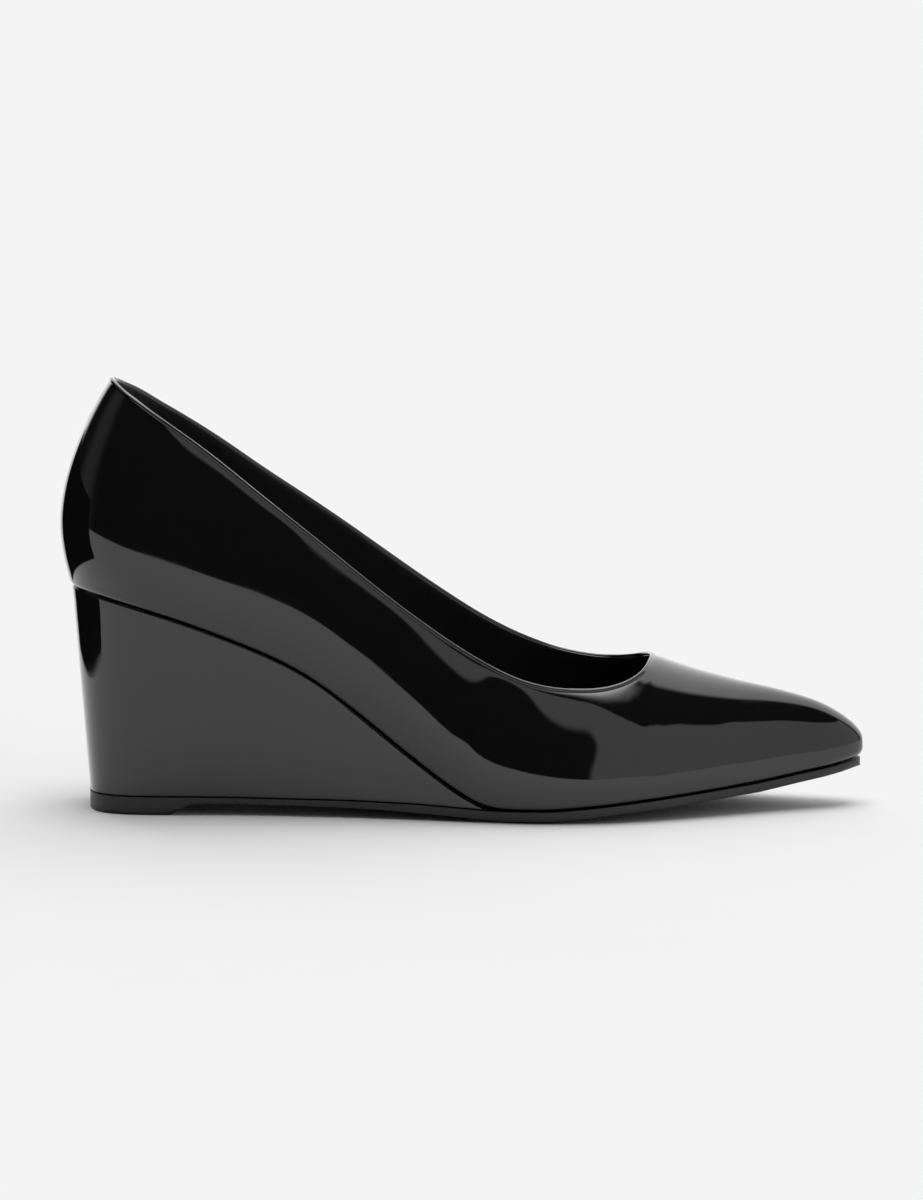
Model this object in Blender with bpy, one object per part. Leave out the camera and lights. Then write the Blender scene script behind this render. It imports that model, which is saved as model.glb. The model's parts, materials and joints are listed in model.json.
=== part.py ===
"""A right-foot wedge pump: hollow upper, insole, wedge and outsole, in metres with +Z up.

The toe points along +X, the outer (lateral) side faces -Y and the inner (medial) side +Y.
A place along the shoe is a share of its length, from 0 at the heel back to 1 at the toe tip.
"""
import math

import bmesh
import bpy
from mathutils import Vector

# Driving sizes
LENGTH = 0.2450             # heel back to toe tip
BALL_WIDTH = 0.0775         # across the upper at the ball
HEEL_RISE = 0.0642          # the foot's seat at the heel above its seat at the ball
COUNTER_HEIGHT = 0.0635     # height of the upper at the heel back, from the seat to the topline
SIDE_HEIGHT = 0.0397        # lowest point of the outer topline above the floor
MEDIAL_RISE = 0.0075        # how much higher the inner topline runs than the outer one
THROAT_HEIGHT = 0.0465      # front of the topline above the floor
THROAT_PLACE = 0.7370       # front of the topline, as a share of the length
BACK_LEAN = 0.0165          # how far the topline leans forward at the heel back
ROLL = 0.0022               # radius of the upper's turned-under edge
MARGIN = 0.0035             # width of the lasting margin under the foot
WALL = 0.0018               # leather and lining of the upper
INSOLE_THICKNESS = 0.0025
INSOLE_CLEARANCE = 0.0006   # from the turned-under edge to the insole's side
SOLE_THICKNESS = 0.0036     # outsole at the ball and toe
WAIST_THICKNESS = 0.0023    # outsole under the wedge
TIP_THICKNESS = 0.0027      # outsole at its tip
TOE_SPRING = 0.0112         # rise of the foot's seat from ball to toe tip
PAD_STEP = 0.0033           # height of the heel pad below the waist
SEAT_EDGE = 0.0012          # how far wedge and outsole stand out from the turned-under edge
WEDGE_TAPER = 0.0030        # how far each side of the wedge draws in towards its base
WEDGE_UNDERCUT = 0.0052     # how far the wedge's back leans forward towards its base
WEDGE_FRONT = 0.5230        # front edge of the wedge, as a share of the length
EDGE_ROUND = 0.0015         # rounding of the outsole's lower edge
GAP = 0.0003                # clearance between neighbouring pieces

# Lengths of the rounded ends in plan, as shares of the length
HEEL_ROUND = 0.120
TOE_ROUND = 0.070
BASE_SQUARENESS = 3.2       # power of the wedge base's corner curve; 2 is a plain ellipse
LEAN_REACH = 0.350          # the lean of the back fades out here
LEAN_POWER = 1.85
MARGIN_FULL = 0.25          # half width, as a share of BALL_WIDTH, below which the margin narrows
BASE_REACH = 0.450          # the wedge's undercut fades out here
INSOLE_END = 0.965          # tip of the insole, as a share of the length
PAD_FLAT_END = 35.0 / 245   # the heel pad's tread ends here and its chamfer starts
PAD_END = 41.0 / 245

# Mesh density
HEEL_STEPS = 8
COLLAR_STEPS = 28
VAMP_STEPS = 10
TOE_STEPS = 6
ACROSS = 6

# Plan and sections of the last. Widths are shares of BALL_WIDTH at the widest line of the upper,
# tuck and swell are the depth and height of the undercut below that line, in shares of the
# SIDE_HEIGHT, crown is the height of the last's ridge above it, as a share of THROAT_RISE, and
# fullness is how far the section's sides stay upright; 0.55 is an ellipse.
LAST = {
    "place":   (0.00, 0.06, 0.12, 0.18, 0.25, 0.31, 0.37, 0.43, 0.48, 0.54,
                0.60, 0.66, 0.72, 0.80, 0.88, 0.93, 1.00),
    "lateral": (.376, .377, .378, .377, .377, .382, .398, .430, .465, .502,
                .525, .515, .470, .358, .232, .162, .112),
    "medial":  (.376, .377, .376, .370, .356, .344, .344, .365, .402, .445,
                .474, .470, .428, .325, .210, .150, .112),
    "tuck":    (.126, .122, .116, .110, .104, .100, .098, .096, .092, .088,
                .082, .078, .074, .068, .062, .058, .055),
    "swell":   (.450, .370, .330, .320, .330, .350, .370, .370, .335, .270,
                .210, .170, .160, .155, .145, .130, .105),
    "crown":   (1.96, 1.96, 1.96, 1.94, 1.88, 1.82, 1.76, 1.74, 1.73, 1.68,
                1.50, 1.29, 1.10, .845, .645, .500, .300),
    "fullness": (.380, .390, .400, .420, .440, .450, .450, .440, .430, .430,
                .440, .460, .500, .520, .520, .530, .540),
}
THROAT_SEAT = 0.0139        # widest line of the upper above the floor, below the throat
THROAT_RISE = THROAT_HEIGHT - THROAT_SEAT

# Fall of the seat from heel to ball, and the spring of the sole's underside from ball to toe
SEAT = {
    "place": (0.00, .033, .092, .168, .250, .300, .363, .427, .4775, .510, .540, 0.60, 1.00),
    "rise":  (1.00, .990, .942, .848, .726, .634, .465, .269, .124, .045, .000, .000, .000),
}
SPRING = {
    "place": (0.00, .600, .650, .720, .800, .870, .910, .965, 1.00),
    "lift":  (0.00, .000, .070, .200, .350, .500, .630, .830, 1.00),
}
# Underside at the waist, as a share of PAD_STEP, and how far the sole has thickened to the ball's
WAIST = {
    "place": (0.00, .160, .250, .350, .400, .440, .480, .515, .540, 1.00),
    "step":  (1.00, 1.00, .930, .850, .700, .540, .300, .120, .000, .000),
    "body":  (.000, .000, .000, .150, .350, .620, .850, .960, 1.00, 1.00),
}
# Topline: back falls from the heel to the lowest point, throat rises from there to the front,
# and inner is the share of MEDIAL_RISE that the inner side adds
TOPLINE = {
    "place":  (0.00, .020, .050, .083, .120, .176, .250, .315, .400, .480,
               .534, .578, .625, .667, .697, .723, .737),
    "back":   (1.00, .975, .944, .901, .853, .768, .632, .505, .324, .170,
               .083, .032, .006, .000, .000, .000, .000),
    "throat": (.000, .000, .000, .000, .000, .000, .000, .000, .000, .000,
               .000, .000, .000, .020, .180, .560, 1.00),
    "inner":  (.000, .000, .000, .000, .050, .180, .380, .640, .940, 1.00,
               .950, .830, .600, .430, .300, .150, .000),
}


def smooth(table, column, place):
    """Reads a table's column at a place, on a curve that doesn't overshoot its rows."""
    xs = table["place"]
    ys = table[column]
    place = min(max(place, xs[0]), xs[-1])
    row = 0
    while row < len(xs) - 2 and place > xs[row + 1]:
        row += 1

    def secant(i):
        return (ys[i + 1] - ys[i]) / (xs[i + 1] - xs[i])

    def slope(i):
        if i == 0:
            return secant(0)
        if i == len(xs) - 1:
            return secant(len(xs) - 2)
        before = secant(i - 1)
        after = secant(i)
        if before * after <= 0.0:
            return 0.0
        return 2.0 * before * after / (before + after)

    span = xs[row + 1] - xs[row]
    s = (place - xs[row]) / span
    start = ys[row] * (1.0 + 2.0 * s) + slope(row) * span * s
    end = ys[row + 1] * (3.0 - 2.0 * s) - slope(row + 1) * span * (1.0 - s)
    return start * (1.0 - s) ** 2 + end * s ** 2


def seat_height(x):
    """Underside of the upper's margin above the floor."""
    place = x / LENGTH
    ball = SOLE_THICKNESS + GAP
    return ball + HEEL_RISE * smooth(SEAT, "rise", place) + TOE_SPRING * smooth(SPRING, "lift", place)


def above_seat(x, depth):
    """Height of a layer whose depth is measured square to the seat."""
    step = 0.01 * LENGTH
    fall = (seat_height(x + step) - seat_height(x - step)) / (2 * step)
    return seat_height(x) + depth * math.hypot(1.0, fall)


def sole_top(x):
    place = x / LENGTH
    body = smooth(WAIST, "body", place)
    thickness = WAIST_THICKNESS + (SOLE_THICKNESS - WAIST_THICKNESS) * body
    return PAD_STEP * smooth(WAIST, "step", place) + TOE_SPRING * smooth(SPRING, "lift", place) + thickness


def sole_bottom(x):
    place = x / LENGTH
    pad = min(max((PAD_END - place) / (PAD_END - PAD_FLAT_END), 0.0), 1.0)
    waist = PAD_STEP * smooth(WAIST, "step", place)
    tip = TOE_SPRING + SOLE_THICKNESS - TIP_THICKNESS
    return waist * (1.0 - pad) + tip * smooth(SPRING, "lift", place)


def topline_height(place, side):
    low = SIDE_HEIGHT
    back_top = SOLE_THICKNESS + GAP + HEEL_RISE + COUNTER_HEIGHT
    height = low + (back_top - low) * smooth(TOPLINE, "back", place)
    height += (THROAT_HEIGHT - low) * smooth(TOPLINE, "throat", place)
    if side > 0:
        height += MEDIAL_RISE * smooth(TOPLINE, "inner", place)
    return height


def stations(last=4.0):
    """Stations round the plan: 0-1 heel curve, 1-2 to the throat, 2-3 vamp, 3-4 toe curve."""
    found = [i / HEEL_STEPS for i in range(HEEL_STEPS)]
    found += [2.0 - (1.0 - i / COLLAR_STEPS) ** 1.4 for i in range(COLLAR_STEPS)]
    found += [2.0 + i / VAMP_STEPS for i in range(VAMP_STEPS)]
    found += [3.0 + i / TOE_STEPS for i in range(TOE_STEPS + 1)]
    kept = [t for t in found if t < last - 0.01]
    return kept + [last]


def along(t, power=2.0):
    """Place along the length and end factor of the width at a station."""
    toe_start = 1.0 - TOE_ROUND
    if t <= 1.0:
        angle = max(t, 0.0) * math.pi / 2
        return HEEL_ROUND * (1.0 - math.cos(angle) ** (2 / power)), math.sin(angle) ** (2 / power)
    if t <= 2.0:
        return HEEL_ROUND + (THROAT_PLACE - HEEL_ROUND) * (t - 1.0), 1.0
    if t <= 3.0:
        return THROAT_PLACE + (toe_start - THROAT_PLACE) * (t - 2.0), 1.0
    angle = (min(t, 4.0) - 3.0) * math.pi / 2
    return toe_start + TOE_ROUND * math.sin(angle), max(math.cos(angle), 0.0)


def station_at(place):
    """Station between the heel curve and the throat that lies at a place."""
    return 1.0 + (place - HEEL_ROUND) / (THROAT_PLACE - HEEL_ROUND)


def widest(t, side):
    """Widest outline of the last in plan."""
    if t < 0.0:
        return widest(-t, -side)
    if t > 4.0:
        return widest(8.0 - t, -side)
    place, end = along(t)
    half = BALL_WIDTH * smooth(LAST, "medial" if side > 0 else "lateral", place)
    return Vector((place * LENGTH, side * half * end))


def inset(t, side, depth):
    """The widest outline drawn in by a depth, square to the outline."""
    step = 0.02
    run = widest(t + step, side) - widest(t - step, side)
    run.normalize()
    inward = Vector((run.y, -run.x)) if side < 0 else Vector((-run.y, run.x))
    inward *= -1.0
    return widest(t, side) + inward * depth


def tuck(t):
    return SIDE_HEIGHT * smooth(LAST, "tuck", along(t)[0])


def seat_outline(t, side):
    """Top edge of the wedge and edge of the outsole's forefoot."""
    return inset(t, side, tuck(t) - SEAT_EDGE)


def base_outline(t, side):
    """Foot of the wedge and edge of the outsole: squarer at the back, and drawn in."""
    place, end = along(t, BASE_SQUARENESS if t < 1.0 else 2.0)
    fade = max(1.0 - place / BASE_REACH, 0.0)
    seat = seat_outline(t, side)
    draw = tuck(t) - SEAT_EDGE + WEDGE_TAPER * min(1.0, 2.0 * fade)
    half = BALL_WIDTH * smooth(LAST, "medial" if side > 0 else "lateral", place) - draw
    start = tuck(0.0) - SEAT_EDGE + WEDGE_UNDERCUT
    base = Vector((place * LENGTH + start * fade ** 2, side * half * end))
    return seat.lerp(base, min(1.0, 2.0 * fade))


def insole_outline(t, side):
    found = inset(t, side, tuck(t) + INSOLE_CLEARANCE)
    limit = INSOLE_END * LENGTH
    if found.x > limit:
        found.x = limit
    return found


def margin_width(t):
    """The margin narrows where the toe does."""
    half = smooth(LAST, "lateral", along(t)[0])
    return MARGIN * min(1.0, half / MARGIN_FULL)


def lower_rows(t, side):
    """Points of the upper from the margin's inner edge round the turned edge to the widest line."""
    depth = tuck(t)
    swell = SIDE_HEIGHT * smooth(LAST, "swell", along(t)[0])
    profile = [(depth + margin_width(t), 0.0), (depth, 0.0)]
    for degrees in (35, 65, 90):
        turn = math.radians(degrees)
        profile.append((depth - ROLL * math.sin(turn), ROLL * (1.0 - math.cos(turn))))
    for share in (0.70, 0.40, 0.0):
        profile.append(((depth - ROLL) * share ** 1.6, swell - (swell - ROLL) * share))
    points = []
    for draw, height in profile:
        plan = inset(t, side, draw)
        points.append(Vector((plan.x, plan.y, seat_height(plan.x) + height)))
    return points


def arch(t, side, share, crown):
    """A point on the last above its widest line, from that line (0) to the ridge (1)."""
    foot = lower_rows(t, side)[-1]
    fullness = smooth(LAST, "fullness", along(t)[0])
    ridge_y = 0.5 * (widest(t, 1).y + widest(t, -1).y)
    rise = crown * THROAT_RISE
    corners = (
        Vector((foot.y, foot.z)),
        Vector((foot.y, foot.z + fullness * rise)),
        Vector((ridge_y + fullness * (foot.y - ridge_y), foot.z + rise)),
        Vector((ridge_y, foot.z + rise)),
    )
    rest = 1.0 - share
    point = corners[0] * rest ** 3 + corners[1] * 3 * rest ** 2 * share
    point += corners[2] * 3 * rest * share ** 2 + corners[3] * share ** 3
    return Vector((foot.x, point.x, point.y))


def upper_rows(t, side, count=7):
    """Points of the upper from above the widest line to the topline or the ridge.

    Near the throat the lower rows keep their height and only the upper ones crowd together.
    """
    place, end = along(t)
    foot = lower_rows(t, side)[-1]
    nose = end if t > 3.0 else 1.0
    crown = smooth(LAST, "crown", place) * nose
    top = 1.0
    if t < 2.0:
        rim = topline_height(place, side)
        low = 0.0
        for _ in range(40):
            middle = 0.5 * (low + top)
            if arch(t, side, middle, crown).z < rim:
                low = middle
            else:
                top = middle
        top = low
    reach = max(arch(t, side, top, crown).z - foot.z, 1e-9)
    fade = max(1.0 - place / LEAN_REACH, 0.0) ** 2
    keep = min(max(2.0 * top - 1.0, 0.0), 1.0)
    points = []
    for row in range(1, count + 1):
        share = row / count
        share *= 1.0 - (1.0 - top) * (1.0 - keep + keep * share)
        point = arch(t, side, share, crown)
        point.x += BACK_LEAN * fade * ((point.z - foot.z) / reach) ** LEAN_POWER
        points.append(point)
    return points


class Skin:
    """Collects faces whose equal corners are one vertex."""

    def __init__(self):
        self.points = []
        self.known = {}
        self.faces = []

    def corner(self, point):
        key = tuple(round(value, 7) + 0.0 for value in point)
        if key not in self.known:
            self.known[key] = len(self.points)
            self.points.append(point)
        return self.known[key]

    def face(self, *corners):
        found = []
        for point in corners:
            index = self.corner(point)
            if index not in found:
                found.append(index)
        if len(found) > 2:
            self.faces.append(found)

    def strip(self, first, second):
        for i in range(len(first) - 1):
            self.face(first[i], second[i], second[i + 1], first[i + 1])

    def mesh(self, name):
        mesh = bpy.data.meshes.new(name)
        mesh.from_pydata([tuple(point) for point in self.points], [], self.faces)
        shape = bmesh.new()
        shape.from_mesh(mesh)
        bmesh.ops.recalc_face_normals(shape, faces=shape.faces)
        shape.to_mesh(mesh)
        shape.free()
        return mesh


def material(name, colour, roughness, metallic=0.0):
    made = bpy.data.materials.new(name)
    made.use_nodes = True
    shader = made.node_tree.nodes["Principled BSDF"]
    shader.inputs["Base Color"].default_value = (*colour, 1.0)
    shader.inputs["Roughness"].default_value = roughness
    shader.inputs["Metallic"].default_value = metallic
    return made


def piece(name, mesh, finish, parent):
    made = bpy.data.objects.new(name, mesh)
    bpy.context.collection.objects.link(made)
    mesh.materials.append(finish)
    mesh.shade_smooth()
    mesh.set_sharp_from_angle(angle=math.radians(40))
    made.parent = parent
    return made


def make_upper(finish, parent):
    """Hollow upper, open at the collar and underneath."""
    skin = Skin()
    for side in (-1, 1):
        columns = [lower_rows(t, side) + upper_rows(t, side) for t in stations()]
        for first, second in zip(columns, columns[1:]):
            skin.strip(first, second)
    mesh = skin.mesh("upper")
    made = piece("upper", mesh, finish, parent)
    wall = made.modifiers.new("wall", "SOLIDIFY")
    wall.thickness = WALL
    wall.offset = -1.0
    wall.use_even_offset = True
    wall.use_quality_normals = True
    return made


def slab(name, ts, top_edge, base_edge, top, base, side_rows, finish, parent):
    """Closed solid between two heights that depend on X, with its own outline at each height.

    side_rows holds (share of the way down, inward rounding) of the side's corners.
    """
    skin = Skin()
    sections = []
    for t in ts:
        left = []
        right = []
        for share, draw in side_rows:
            for side, wall in ((-1, left), (1, right)):
                edge = top_edge(t, side).lerp(base_edge(t, side), share)
                if draw:
                    across = base_edge(t, -side) - edge
                    if across.length > 1e-6:
                        edge = edge + across.normalized() * min(draw, 0.45 * across.length)
                high = top(edge.x)
                low = base(edge.x)
                wall.append(Vector((edge.x, edge.y, high + (low - high) * share)))
        roof = [left[0].lerp(right[0], i / ACROSS) for i in range(ACROSS + 1)]
        floor = [left[-1].lerp(right[-1], i / ACROSS) for i in range(ACROSS + 1)]
        for point in roof:
            point.z = top(point.x)
        for point in floor:
            point.z = base(point.x)
        sections.append((left, right, roof, floor))
    for first, second in zip(sections, sections[1:]):
        for row in range(4):
            skin.strip(first[row], second[row])
    left, right, roof, floor = sections[-1]
    if (right[0] - left[0]).length > GAP:
        levels = [[a.lerp(b, i / ACROSS) for i in range(ACROSS + 1)] for a, b in zip(left, right)]
        levels[0] = roof
        levels[-1] = floor
        for upper_level, lower_level in zip(levels, levels[1:]):
            skin.strip(upper_level, lower_level)
    return piece(name, skin.mesh(name), finish, parent)


def make_wedge(finish, parent):
    def top(x):
        return seat_height(x) - GAP

    def base(x):
        return sole_top(x) + GAP

    rows = ((0.0, 0.0), (0.33, 0.0), (0.67, 0.0), (1.0, 0.0))
    return slab("wedge", stations(station_at(WEDGE_FRONT)), seat_outline, base_outline,
                top, base, rows, finish, parent)


def make_outsole(finish, parent):
    rows = ((0.0, 0.0), (0.5, 0.0), (0.8, 0.25 * EDGE_ROUND), (1.0, EDGE_ROUND))
    ts = stations() + [station_at(PAD_FLAT_END), station_at(PAD_END)]
    return slab("outsole", sorted(ts), base_outline, base_outline,
                sole_top, sole_bottom, rows, finish, parent)


def make_insole(finish, parent):
    def top(x):
        return above_seat(x, WALL + GAP + INSOLE_THICKNESS)

    def base(x):
        return above_seat(x, WALL + GAP)

    rows = ((0.0, 0.0), (1.0, 0.0))
    return slab("insole", stations(), insole_outline, insole_outline, top, base, rows, finish, parent)


def stand_on_origin(root, pieces):
    """Puts the middle of the finished shoe's footprint over the origin."""
    bpy.context.view_layer.update()
    shapes = bpy.context.evaluated_depsgraph_get()
    corners = []
    for made in pieces:
        shape = made.evaluated_get(shapes)
        corners += [shape.matrix_world @ vertex.co for vertex in shape.data.vertices]
    middle = [0.5 * (min(c[axis] for c in corners) + max(c[axis] for c in corners)) for axis in (0, 1)]
    root.location = (-middle[0], -middle[1], -min(corner.z for corner in corners))


def main():
    for old in list(bpy.data.objects):
        bpy.data.objects.remove(old, do_unlink=True)
    root = bpy.data.objects.new("wedge_pump", None)
    bpy.context.collection.objects.link(root)
    patent = material("patent_black", (0.006, 0.006, 0.007), 0.08)
    rubber = material("rubber_black", (0.022, 0.020, 0.019), 0.55)
    sock = material("sock_black", (0.012, 0.012, 0.012), 0.70)
    pieces = (
        make_upper(patent, root),
        make_wedge(patent, root),
        make_outsole(rubber, root),
        make_insole(sock, root),
    )
    stand_on_origin(root, pieces)


main()
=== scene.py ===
import json
import math

import bpy
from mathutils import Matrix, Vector

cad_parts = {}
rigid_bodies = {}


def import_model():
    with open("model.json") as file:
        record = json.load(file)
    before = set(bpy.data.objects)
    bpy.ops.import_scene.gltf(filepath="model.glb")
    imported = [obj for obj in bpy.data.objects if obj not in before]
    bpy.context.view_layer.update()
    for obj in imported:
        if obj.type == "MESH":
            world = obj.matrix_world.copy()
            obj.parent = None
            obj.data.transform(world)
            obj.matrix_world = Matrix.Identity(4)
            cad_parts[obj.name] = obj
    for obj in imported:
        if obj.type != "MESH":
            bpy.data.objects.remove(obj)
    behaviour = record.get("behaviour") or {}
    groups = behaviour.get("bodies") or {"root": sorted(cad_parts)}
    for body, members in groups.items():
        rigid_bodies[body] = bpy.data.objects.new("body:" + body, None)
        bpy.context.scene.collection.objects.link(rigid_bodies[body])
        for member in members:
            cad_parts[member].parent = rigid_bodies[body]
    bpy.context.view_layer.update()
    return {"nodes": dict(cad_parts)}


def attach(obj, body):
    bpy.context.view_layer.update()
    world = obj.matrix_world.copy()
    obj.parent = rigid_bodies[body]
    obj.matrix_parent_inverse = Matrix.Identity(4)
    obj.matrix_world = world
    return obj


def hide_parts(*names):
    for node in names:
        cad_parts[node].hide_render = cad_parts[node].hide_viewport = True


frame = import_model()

# Camera: the photo's angle, from far off with a long lens
CAMERA_ELEVATION = math.radians(8.5)
CAMERA_DISTANCE = 3.0
CAMERA_AIM = Vector((-0.0002, 0.0, 0.0630))
CAMERA_LENS = 296.0
CAMERA_REACH = 50.0

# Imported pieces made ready, in metres: corners closer than the first value become one
MERGE_DISTANCE = 0.00002
SKIN_LEVELS = 2
PIECE_LEVELS = 1
EDGE_SOFTNESS = 0.0005
EDGE_SHARPNESS = math.radians(38)
ROUND_SEGMENTS = 2

# Faces of the upper: outer skin, lining, and the folded rim and margin, which end up as skin
SKIN, LINING, FOLD = 0, 1, 2
SKIN_SHARPNESS = math.radians(48)

# Places where the skin is drawn smooth over the last, and how far round each
THROAT = Vector((0.058, 0.0, 0.045))
THROAT_EASE = 0.034
TOE = Vector((0.108, 0.0, 0.018))
TOE_EASE = 0.036
EASE_ROUNDS = 4
EASE_STEPS = 3
EASE_FACTOR = 0.5

# Closing seam at the heel back, and the bead round the topline
SEAM_HALF_WIDTH = 0.0006
SEAM_DEPTH = 0.0003
SEAM_REACH = 0.00005
SEAM_FRONT = -0.09
BEAD_RADIUS = 0.0007
BEAD_ROUNDNESS = 3
BEAD_EASE = 2

# Groups of tread bars: first and last place along the shoe, how many, and their width across it
TREAD = {
    "start": (-0.105, 0.006, 0.0645),
    "end":   (-0.088, 0.060, 0.092),
    "bars":  (4, 12, 7),
    "width": (0.034, 0.044, 0.024)}
TREAD_LENGTH = 0.0012
TREAD_DEPTH = 0.0004
TREAD_MIDDLE = 0.002
TREAD_SEARCH = 0.0025
TREAD_SHARPNESS = math.radians(32)

# Black patent: its clear coat, and the waves, peel and smudges in it, with scales in repeats per metre
PATENT = {"Base Color": (0.0045, 0.0045, 0.0050, 1.0), "IOR": 1.5, "Coat Weight": 0.6, "Coat Roughness": 0.02}
PATENT_GLOSS = {"From Min": 0.35, "From Max": 0.75, "To Min": 0.035, "To Max": 0.07}
WAVE_SCALE = 34.0
UPPER_WAVE = 0.0003
WEDGE_WAVE = 0.0004
PEEL_DEPTH = 0.00001
WAVE = {"Detail": 1.0, "Roughness": 0.35}
PEEL = {"Scale": 1400.0, "Detail": 2.0}
SMUDGE = {"Scale": 55.0, "Detail": 4.0}
WAVE_STRENGTH = 1.0
PEEL_STRENGTH = 0.3

# Dull finishes: two tones as linear light, and a grain in repeats per metre with its relief in metres
LINING_LIGHT = (0.018, 0.017, 0.017)
LINING_DARK = (0.013, 0.012, 0.012)
LEATHER_GRAIN = 900.0
GRAIN_RELIEF = 0.00008
FINISHES = {
    "lining": {"light": LINING_LIGHT, "dark": LINING_DARK,
               "roughness": 0.62, "shine": 0.5, "grain": LEATHER_GRAIN, "relief": GRAIN_RELIEF},
    "sock": {"light": LINING_LIGHT, "dark": LINING_DARK,
             "roughness": 0.70, "shine": 0.5, "grain": LEATHER_GRAIN, "relief": GRAIN_RELIEF},
    "rubber": {"light": (0.024, 0.020, 0.019), "dark": (0.016, 0.014, 0.0135),
               "roughness": 0.42, "shine": 0.5, "grain": 500.0, "relief": GRAIN_RELIEF},
    "floor_pale": {"light": (0.92, 0.92, 0.92), "dark": (0.91, 0.91, 0.91),
                   "roughness": 0.90, "shine": 0.0, "grain": 40.0, "relief": 0.0}}
GRAIN = {"Detail": 3.0}
CLOUD = {"Scale": 40.0, "Detail": 3.0}
GRAIN_STRENGTH = 0.6

# Floor, and a black card behind the heel that darkens its reflection, both in metres
FLOOR_RADIUS = 9.0
FLOOR_SIDES = 96
FLAG_NEAR = Vector((-0.350, -0.045, 0.0))
FLAG_FAR = Vector((-0.240, 0.230, 0.0))
FLAG_HEIGHT = 0.14
FLAG_CLOTH = {"Base Color": (0.004, 0.004, 0.004, 1.0), "Roughness": 1.0, "Specular IOR Level": 0.0}

# Studio: brightness of each surface, and where its soft edges start and end, in degrees.
# They count from the camera's side round towards the toe, or up from the floor.
ROOM_LEVEL = 0.015
PANEL_LEVEL = 0.62
PANEL_LEFT = (11.0, 14.5)
PANEL_RIGHT = (112.0, 100.0)
PANEL_TOP = (44.0, 42.0)
STRIP_LEVEL = 0.15
STRIP_LEFT = (-122.0, -100.0)
STRIP_RIGHT = (-74.0, -92.0)
WALL_LEVEL = 1.3
WALL_TOE_EDGE = (108.0, 122.0)
WALL_HEEL_EDGE = (-138.0, -152.0)
CEILING_LEVEL = 4.2
CEILING_EDGE = (61.0, 76.0)
BACKDROP_LEVEL = 1.0

# The panel's left edge leans right as it rises, and its top edge is higher towards its left end
PANEL_LEAN = (2.0, 38.0)
PANEL_LEAN_REACH = 6.0
PANEL_STEP = (50.0, 33.0)
PANEL_STEP_REACH = 20.0


def deselect():
    for thing in bpy.context.selected_objects:
        thing.select_set(False)


def activate(thing):
    deselect()
    bpy.context.view_layer.objects.active = thing
    thing.select_set(True)


def edit(thing, kind="FACE"):
    """Edit mode with nothing selected."""
    activate(thing)
    bpy.ops.object.mode_set(mode="EDIT")
    bpy.ops.mesh.select_mode(type=kind)
    bpy.ops.mesh.select_all(action="DESELECT")


def done():
    bpy.ops.object.mode_set(mode="OBJECT")


def pick(thing, kind, wanted):
    """Edit mode with only the wanted corners, edges or faces selected."""
    edit(thing, kind)
    done()
    mesh = thing.data
    for part in {"VERT": mesh.vertices, "EDGE": mesh.edges, "FACE": mesh.polygons}[kind]:
        part.select = wanted(part)
    bpy.ops.object.mode_set(mode="EDIT")


def add_modifier(thing, kind, **values):
    activate(thing)
    made = thing.modifiers.new(kind.lower(), kind)
    for name, value in values.items():
        setattr(made, name, value)
    bpy.ops.object.modifier_apply(modifier=made.name)


def free_copy(node_name, name):
    """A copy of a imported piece, merged and turned back to four-sided faces."""
    made = bpy.data.objects.new(name, frame["nodes"][node_name].data.copy())
    bpy.context.collection.objects.link(made)
    made.data.materials.clear()
    activate(made)
    if made.data.has_custom_normals:
        bpy.ops.mesh.customdata_custom_splitnormals_clear()
    edit(made)
    bpy.ops.mesh.select_all(action="SELECT")
    bpy.ops.mesh.remove_doubles(threshold=MERGE_DISTANCE)
    bpy.ops.mesh.tris_convert_to_quads(
        face_threshold=math.pi, shape_threshold=math.pi, topology_influence=1.0)
    done()
    return made


def finish_piece(piece, node_name):
    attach(piece, "root")
    if node_name:
        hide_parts(node_name)


def node(tree, kind, **values):
    """A shader node with values set on its sockets, or else on the node itself."""
    made = tree.nodes.new(kind)
    for name, value in values.items():
        if name in made.inputs:
            made.inputs[name].default_value = value
        else:
            setattr(made, name, value)
    return made


def wire(tree, *pairs):
    for start, end in pairs:
        tree.links.new(start, end)


def new_group(name, inputs, outputs):
    """An empty shader group with named number inputs and typed outputs."""
    tree = bpy.data.node_groups.new(name, "ShaderNodeTree")
    for label, value in inputs.items():
        socket = tree.interface.new_socket(label, in_out="INPUT", socket_type="NodeSocketFloat")
        socket.default_value = value
    for label, kind in outputs.items():
        tree.interface.new_socket(label, in_out="OUTPUT", socket_type=kind)
    return tree, tree.nodes.new("NodeGroupInput"), tree.nodes.new("NodeGroupOutput")


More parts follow.
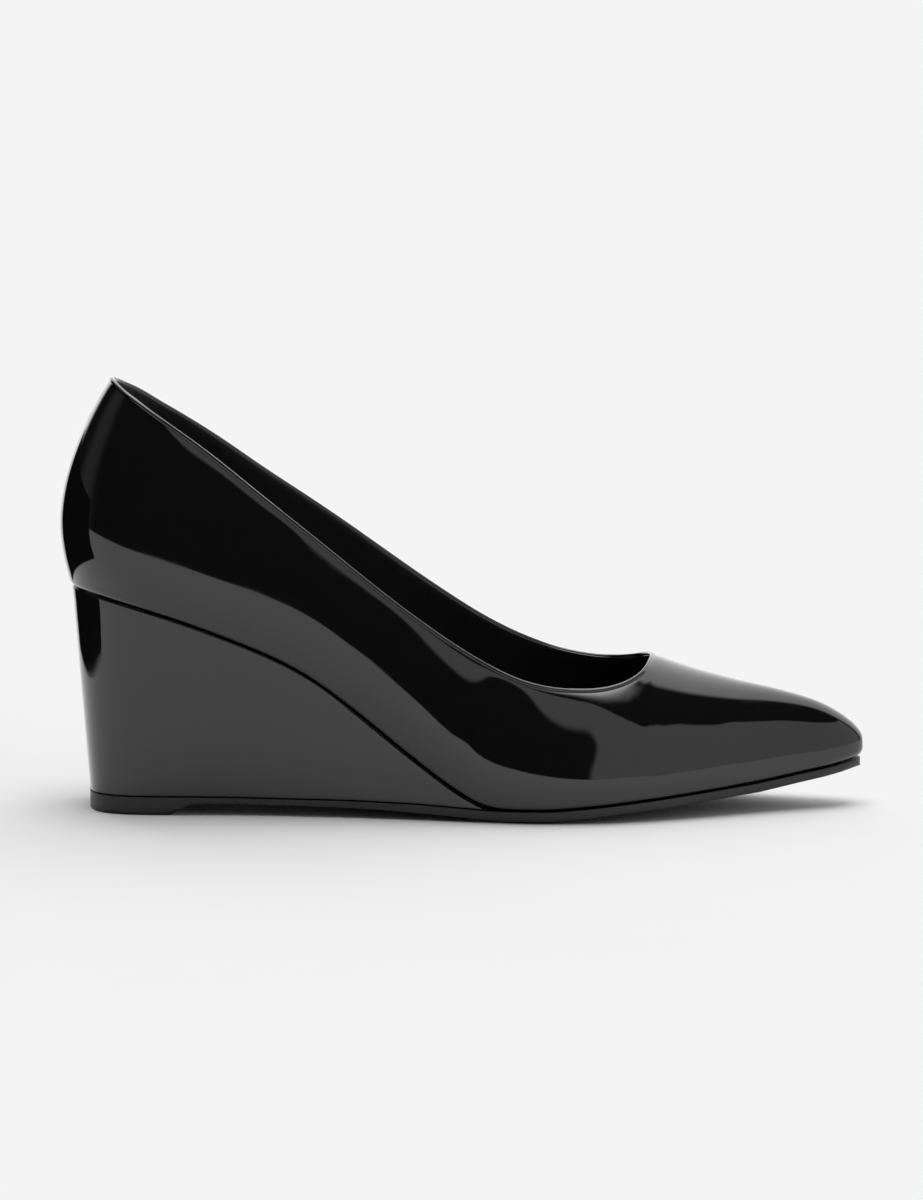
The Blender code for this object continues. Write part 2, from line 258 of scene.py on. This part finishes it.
def make_stretched_skin():
    """Leather pulled over a last: slow waves, fine peel and a few smudges of wear."""
    inputs = {"Wave Scale": WAVE_SCALE, "Wave Depth": UPPER_WAVE, "Peel Depth": PEEL_DEPTH}
    outputs = {"Normal": "NodeSocketVector", "Smudge": "NodeSocketFloat"}
    tree, entry, leave = new_group("stretched_skin", inputs, outputs)
    place = node(tree, "ShaderNodeTexCoord")
    swell = node(tree, "ShaderNodeTexNoise", **WAVE)
    peel = node(tree, "ShaderNodeTexNoise", **PEEL)
    smudge = node(tree, "ShaderNodeTexNoise", **SMUDGE)
    soft = node(tree, "ShaderNodeBump", Strength=WAVE_STRENGTH)
    fine = node(tree, "ShaderNodeBump", Strength=PEEL_STRENGTH)
    wire(tree,
         (place.outputs["Object"], swell.inputs["Vector"]),
         (place.outputs["Object"], peel.inputs["Vector"]),
         (place.outputs["Object"], smudge.inputs["Vector"]),
         (entry.outputs["Wave Scale"], swell.inputs["Scale"]),
         (entry.outputs["Wave Depth"], soft.inputs["Distance"]),
         (entry.outputs["Peel Depth"], fine.inputs["Distance"]),
         (swell.outputs["Fac"], soft.inputs["Height"]),
         (peel.outputs["Fac"], fine.inputs["Height"]),
         (soft.outputs["Normal"], fine.inputs["Normal"]),
         (fine.outputs["Normal"], leave.inputs["Normal"]),
         (smudge.outputs["Fac"], leave.inputs["Smudge"]))
    return tree


def make_fine_grain():
    """Close even grain, as on lining leather, rubber and the floor."""
    inputs = {"Grain Scale": LEATHER_GRAIN, "Grain Depth": GRAIN_RELIEF}
    outputs = {"Normal": "NodeSocketVector", "Tone": "NodeSocketFloat"}
    tree, entry, leave = new_group("fine_grain", inputs, outputs)
    place = node(tree, "ShaderNodeTexCoord")
    grain = node(tree, "ShaderNodeTexNoise", **GRAIN)
    cloud = node(tree, "ShaderNodeTexNoise", **CLOUD)
    bump = node(tree, "ShaderNodeBump", Strength=GRAIN_STRENGTH)
    wire(tree,
         (place.outputs["Object"], grain.inputs["Vector"]),
         (place.outputs["Object"], cloud.inputs["Vector"]),
         (entry.outputs["Grain Scale"], grain.inputs["Scale"]),
         (entry.outputs["Grain Depth"], bump.inputs["Distance"]),
         (grain.outputs["Fac"], bump.inputs["Height"]),
         (bump.outputs["Normal"], leave.inputs["Normal"]),
         (cloud.outputs["Fac"], leave.inputs["Tone"]))
    return tree


def new_material(name, **values):
    """A material with its shader wired to its output."""
    made = bpy.data.materials.new(name)
    made.use_nodes = True
    tree = made.node_tree
    tree.nodes.clear()
    shader = node(tree, "ShaderNodeBsdfPrincipled", **values)
    out = node(tree, "ShaderNodeOutputMaterial")
    wire(tree, (shader.outputs["BSDF"], out.inputs["Surface"]))
    return made, tree, shader


def patent_leather(name, wave_depth):
    """Black patent: a thick clear coat over dyed leather, never quite flat."""
    made, tree, shader = new_material(name, **PATENT)
    skin = node(tree, "ShaderNodeGroup", node_tree=STRETCHED_SKIN, **{"Wave Depth": wave_depth})
    gloss = node(tree, "ShaderNodeMapRange", **PATENT_GLOSS)
    wire(tree,
         (skin.outputs["Smudge"], gloss.inputs["Value"]),
         (gloss.outputs["Result"], shader.inputs["Roughness"]),
         (skin.outputs["Normal"], shader.inputs["Normal"]))
    return made


def grained(name):
    """A dull close-grained finish whose tone drifts a little."""
    finish = FINISHES[name]
    made, tree, shader = new_material(
        name, **{"Roughness": finish["roughness"], "Specular IOR Level": finish["shine"]})
    grain = node(tree, "ShaderNodeGroup", node_tree=FINE_GRAIN,
                 **{"Grain Scale": finish["grain"], "Grain Depth": finish["relief"]})
    tone = node(tree, "ShaderNodeMix", data_type="RGBA")
    first, second = [socket for socket in tone.inputs if socket.type == "RGBA"]
    first.default_value = (*finish["dark"], 1.0)
    second.default_value = (*finish["light"], 1.0)
    mixed = [socket for socket in tone.outputs if socket.type == "RGBA"][0]
    wire(tree,
         (grain.outputs["Tone"], tone.inputs["Factor"]),
         (mixed, shader.inputs["Base Color"]),
         (grain.outputs["Normal"], shader.inputs["Normal"]))
    return made


def mark_upper(upper):
    """Tell skin, lining and fold apart by the sharp turn at the rim and at the feather line."""
    outermost = min(upper.data.polygons, key=lambda face: face.center.y).index
    pick(upper, "FACE", lambda face: face.index == outermost)
    bpy.ops.mesh.faces_select_linked_flat(sharpness=SKIN_SHARPNESS)
    done()
    skin = {face.index for face in upper.data.polygons if face.select}
    bpy.ops.object.mode_set(mode="EDIT")
    bpy.ops.mesh.select_more(use_face_step=False)
    done()
    for face in upper.data.polygons:
        if face.index in skin:
            face.material_index = SKIN
        else:
            face.material_index = FOLD if face.select else LINING


def ease_skin(upper, centre, reach):
    """Smooth the outside round one place, less and less towards its border; the rim stays."""
    pick(upper, "FACE", lambda face: face.material_index == SKIN and (face.center - centre).length < reach)
    for _ in range(EASE_ROUNDS):
        bpy.ops.mesh.select_less()
        bpy.ops.mesh.vertices_smooth(factor=EASE_FACTOR, repeat=EASE_STEPS)
    done()


def make_topline_bead(upper, patent):
    """The folded edge round the opening, a fine roll that catches the light."""
    pick(upper, "FACE", lambda face: face.material_index == SKIN)
    bpy.ops.mesh.region_to_loop()
    bpy.ops.mesh.duplicate()
    bpy.ops.mesh.separate(type="SELECTED")
    done()
    bead = [thing for thing in bpy.context.selected_objects if thing != upper][0]
    bead.name = "topline_bead"
    # The loop under the foot came along too, and only the topmost loop stays
    topmost = max(bead.data.vertices, key=lambda corner: corner.co.z).index
    pick(bead, "VERT", lambda corner: corner.index == topmost)
    bpy.ops.mesh.select_linked()
    bpy.ops.mesh.select_all(action="INVERT")
    bpy.ops.mesh.delete(type="VERT")
    bpy.ops.mesh.select_all(action="SELECT")
    bpy.ops.mesh.vertices_smooth(factor=EASE_FACTOR, repeat=BEAD_EASE)
    done()
    bpy.ops.object.convert(target="CURVE")
    bead.data.bevel_depth = BEAD_RADIUS
    bead.data.bevel_resolution = BEAD_ROUNDNESS
    bead.data.materials.clear()
    bpy.ops.object.convert(target="MESH")
    bead.data.materials.append(patent)
    bead.data.shade_smooth()
    finish_piece(bead, None)


def press_back_seam(upper):
    """The closing seam down the middle of the heel, a narrow groove."""
    middle = min(upper.data.vertices, key=lambda corner: corner.co.x).co.y
    skin = {key for face in upper.data.polygons if face.material_index == SKIN for key in face.edge_keys}

    def on_seam(side):
        ends = [upper.data.vertices[index].co for index in side.vertices]
        central = all(abs(end.y - middle) < SEAM_REACH and end.x < SEAM_FRONT for end in ends)
        return central and side.key in skin

    pick(upper, "EDGE", on_seam)
    bpy.ops.mesh.bevel(offset=SEAM_HALF_WIDTH, segments=ROUND_SEGMENTS, affect="EDGES")
    bpy.ops.mesh.select_mode(type="VERT")
    done()
    for corner in upper.data.vertices:
        corner.select = corner.select and abs(corner.co.y - middle) < SEAM_REACH
    bpy.ops.object.mode_set(mode="EDIT")
    bpy.ops.transform.shrink_fatten(value=-SEAM_DEPTH)
    done()


def make_upper():
    """Patent skin outside, lining inside, folded edge at the topline."""
    upper = free_copy("upper", "upper_leather")
    patent = patent_leather("patent_upper", UPPER_WAVE)
    upper.data.materials.append(patent)
    upper.data.materials.append(grained("lining"))
    mark_upper(upper)
    add_modifier(upper, "SUBSURF", levels=SKIN_LEVELS, render_levels=SKIN_LEVELS)
    ease_skin(upper, THROAT, THROAT_EASE)
    ease_skin(upper, TOE, TOE_EASE)
    make_topline_bead(upper, patent)
    for face in upper.data.polygons:
        if face.material_index == FOLD:
            face.material_index = SKIN
    press_back_seam(upper)
    upper.data.shade_smooth()
    finish_piece(upper, "upper")


def soft_edged(node_name, name, material):
    """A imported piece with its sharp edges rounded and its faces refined."""
    made = free_copy(node_name, name)
    made.data.materials.append(material)
    edit(made, "EDGE")
    bpy.ops.mesh.edges_select_sharp(sharpness=EDGE_SHARPNESS)
    bpy.ops.mesh.bevel(offset=EDGE_SOFTNESS, segments=ROUND_SEGMENTS, affect="EDGES", clamp_overlap=True)
    done()
    add_modifier(made, "SUBSURF", levels=PIECE_LEVELS, render_levels=PIECE_LEVELS)
    made.data.shade_smooth()
    finish_piece(made, node_name)
    return made


def tread_bar(outsole, x, width):
    """A bar across the sole at one place, half sunk into its underside."""
    low = min(corner.co.z for corner in outsole.data.vertices if abs(corner.co.x - x) < TREAD_SEARCH)
    deselect()
    bpy.ops.mesh.primitive_cube_add(size=1.0, location=(x, TREAD_MIDDLE, low))
    bar = bpy.context.object
    edit(bar)
    bpy.ops.mesh.select_all(action="SELECT")
    bpy.ops.transform.resize(value=(TREAD_LENGTH, width, 2.0 * TREAD_DEPTH), center_override=bar.location)
    done()
    return bar


def cut_tread(outsole):
    """Shallow bars across the forefoot and the heel, following the curve of the sole."""
    bars = []
    for start, end, count, width in zip(*TREAD.values()):
        for i in range(count):
            bars.append(tread_bar(outsole, start + (end - start) * i / (count - 1), width))
    deselect()
    for bar in bars:
        bar.select_set(True)
    cutter = bars[0]
    bpy.context.view_layer.objects.active = cutter
    bpy.ops.object.join()
    add_modifier(outsole, "BOOLEAN", operation="DIFFERENCE", solver="EXACT", object=cutter)
    bpy.data.objects.remove(cutter)
    activate(outsole)
    bpy.ops.object.shade_smooth_by_angle(angle=TREAD_SHARPNESS)


def make_camera():
    bpy.context.scene.view_settings.view_transform = "Standard"
    view = Vector((0.0, math.cos(CAMERA_ELEVATION), -math.sin(CAMERA_ELEVATION)))
    bpy.ops.object.camera_add(location=CAMERA_AIM - view * CAMERA_DISTANCE)
    camera = bpy.context.object
    camera.data.lens = CAMERA_LENS
    camera.data.clip_end = CAMERA_REACH
    camera.rotation_euler = view.to_track_quat("-Z", "Y").to_euler()
    bpy.context.scene.camera = camera


def make_floor():
    bpy.ops.mesh.primitive_circle_add(
        vertices=FLOOR_SIDES, radius=FLOOR_RADIUS, fill_type="NGON", location=(0, 0, 0))
    floor = bpy.context.object
    floor.name = "floor"
    floor.data.materials.append(grained("floor_pale"))


def make_flag():
    """A low black card behind the heel, outside the picture, that only reflections see."""
    bpy.ops.mesh.primitive_plane_add(size=1.0, location=(0, 0, 0))
    flag = bpy.context.object
    flag.name = "flag"
    foot = FLAG_FAR - FLAG_NEAR
    middle = 0.5 * (FLAG_NEAR + FLAG_FAR)
    edit(flag)
    bpy.ops.mesh.select_all(action="SELECT")
    bpy.ops.transform.resize(value=(foot.length, FLAG_HEIGHT, 1.0))
    # Without a window rotate turns the other way, so both angles are negative
    bpy.ops.transform.rotate(value=-math.pi / 2, orient_axis="X", center_override=(0, 0, 0))
    bpy.ops.transform.rotate(
        value=-math.atan2(foot.y, foot.x), orient_axis="Z", center_override=(0, 0, 0))
    bpy.ops.transform.translate(value=(middle.x, middle.y, FLAG_HEIGHT / 2))
    done()
    flag.data.materials.append(new_material("flag_cloth", **FLAG_CLOTH)[0])
    flag.visible_camera = False
    flag.visible_diffuse = False
    flag.visible_shadow = False


def gate(tree, value, start, end):
    """0 before start and 1 past end, in degrees, also when end comes first."""
    made = node(tree, "ShaderNodeMapRange", interpolation_type="SMOOTHSTEP",
                **{"From Min": math.radians(start), "From Max": math.radians(end)})
    wire(tree, (value, made.inputs["Value"]))
    return made.outputs["Result"]


def times(tree, first, second):
    made = node(tree, "ShaderNodeMath", operation="MULTIPLY")
    wire(tree, (first, made.inputs[0]), (second, made.inputs[1]))
    return made.outputs[0]


def shifted(tree, value, mask, degrees):
    """The value moved by some degrees where the mask says so."""
    made = node(tree, "ShaderNodeMath", operation="MULTIPLY_ADD")
    made.inputs[1].default_value = math.radians(degrees)
    wire(tree, (mask, made.inputs[0]), (value, made.inputs[2]))
    return made.outputs[0]


def lay_over(tree, below, mask, level):
    """A brightness laid over another one where the mask says so."""
    made = node(tree, "ShaderNodeMix", data_type="FLOAT")
    made.inputs["B"].default_value = level
    wire(tree, (mask, made.inputs["Factor"]), (below, made.inputs["A"]))
    return made.outputs["Result"]


def studio_angles(tree):
    """Where the world is looked at: the angle round from the camera's side, and the height."""
    place = node(tree, "ShaderNodeTexCoord")
    split = node(tree, "ShaderNodeSeparateXYZ")
    front = node(tree, "ShaderNodeMath", operation="MULTIPLY")
    front.inputs[1].default_value = -1.0
    turn = node(tree, "ShaderNodeMath", operation="ARCTAN2")
    rise = node(tree, "ShaderNodeMath", operation="ARCSINE")
    wire(tree,
         (place.outputs["Generated"], split.inputs["Vector"]),
         (split.outputs["Y"], front.inputs[0]),
         (split.outputs["X"], turn.inputs[0]),
         (front.outputs[0], turn.inputs[1]),
         (split.outputs["Z"], rise.inputs[0]))
    return turn.outputs[0], rise.outputs[0]


def grey_panel(tree, angle, height):
    leaning = shifted(tree, angle, gate(tree, height, *PANEL_LEAN), -PANEL_LEAN_REACH)
    sloping = shifted(tree, height, gate(tree, angle, *PANEL_STEP), -PANEL_STEP_REACH)
    sides = times(tree, gate(tree, leaning, *PANEL_LEFT), gate(tree, angle, *PANEL_RIGHT))
    return times(tree, sides, gate(tree, sloping, *PANEL_TOP))


def make_world():
    """A dark room: grey panel on the toe's side, dim strip by the heel, pale wall behind, bright ceiling."""
    world = bpy.data.worlds.new("studio")
    bpy.context.scene.world = world
    world.use_nodes = True
    tree = world.node_tree
    tree.nodes.clear()
    angle, height = studio_angles(tree)
    room = node(tree, "ShaderNodeValue")
    room.outputs[0].default_value = ROOM_LEVEL
    strip = times(tree, gate(tree, angle, *STRIP_LEFT), gate(tree, angle, *STRIP_RIGHT))
    light = lay_over(tree, room.outputs[0], grey_panel(tree, angle, height), PANEL_LEVEL)
    light = lay_over(tree, light, strip, STRIP_LEVEL)
    light = lay_over(tree, light, gate(tree, angle, *WALL_TOE_EDGE), WALL_LEVEL)
    light = lay_over(tree, light, gate(tree, angle, *WALL_HEEL_EDGE), WALL_LEVEL)
    light = lay_over(tree, light, gate(tree, height, *CEILING_EDGE), CEILING_LEVEL)
    seen = node(tree, "ShaderNodeLightPath")
    light = lay_over(tree, light, seen.outputs["Is Camera Ray"], BACKDROP_LEVEL)
    shade = node(tree, "ShaderNodeBackground", Color=(1.0, 1.0, 1.0, 1.0))
    out = node(tree, "ShaderNodeOutputWorld")
    wire(tree, (light, shade.inputs["Strength"]), (shade.outputs["Background"], out.inputs["Surface"]))


STRETCHED_SKIN = make_stretched_skin()
FINE_GRAIN = make_fine_grain()

make_camera()
make_world()
make_floor()
make_flag()
make_upper()
soft_edged("wedge", "wedge_cover", patent_leather("patent_wedge", WEDGE_WAVE))
outsole = soft_edged("outsole", "outsole_unit", grained("rubber"))
cut_tread(outsole)
soft_edged("insole", "sock", grained("sock"))
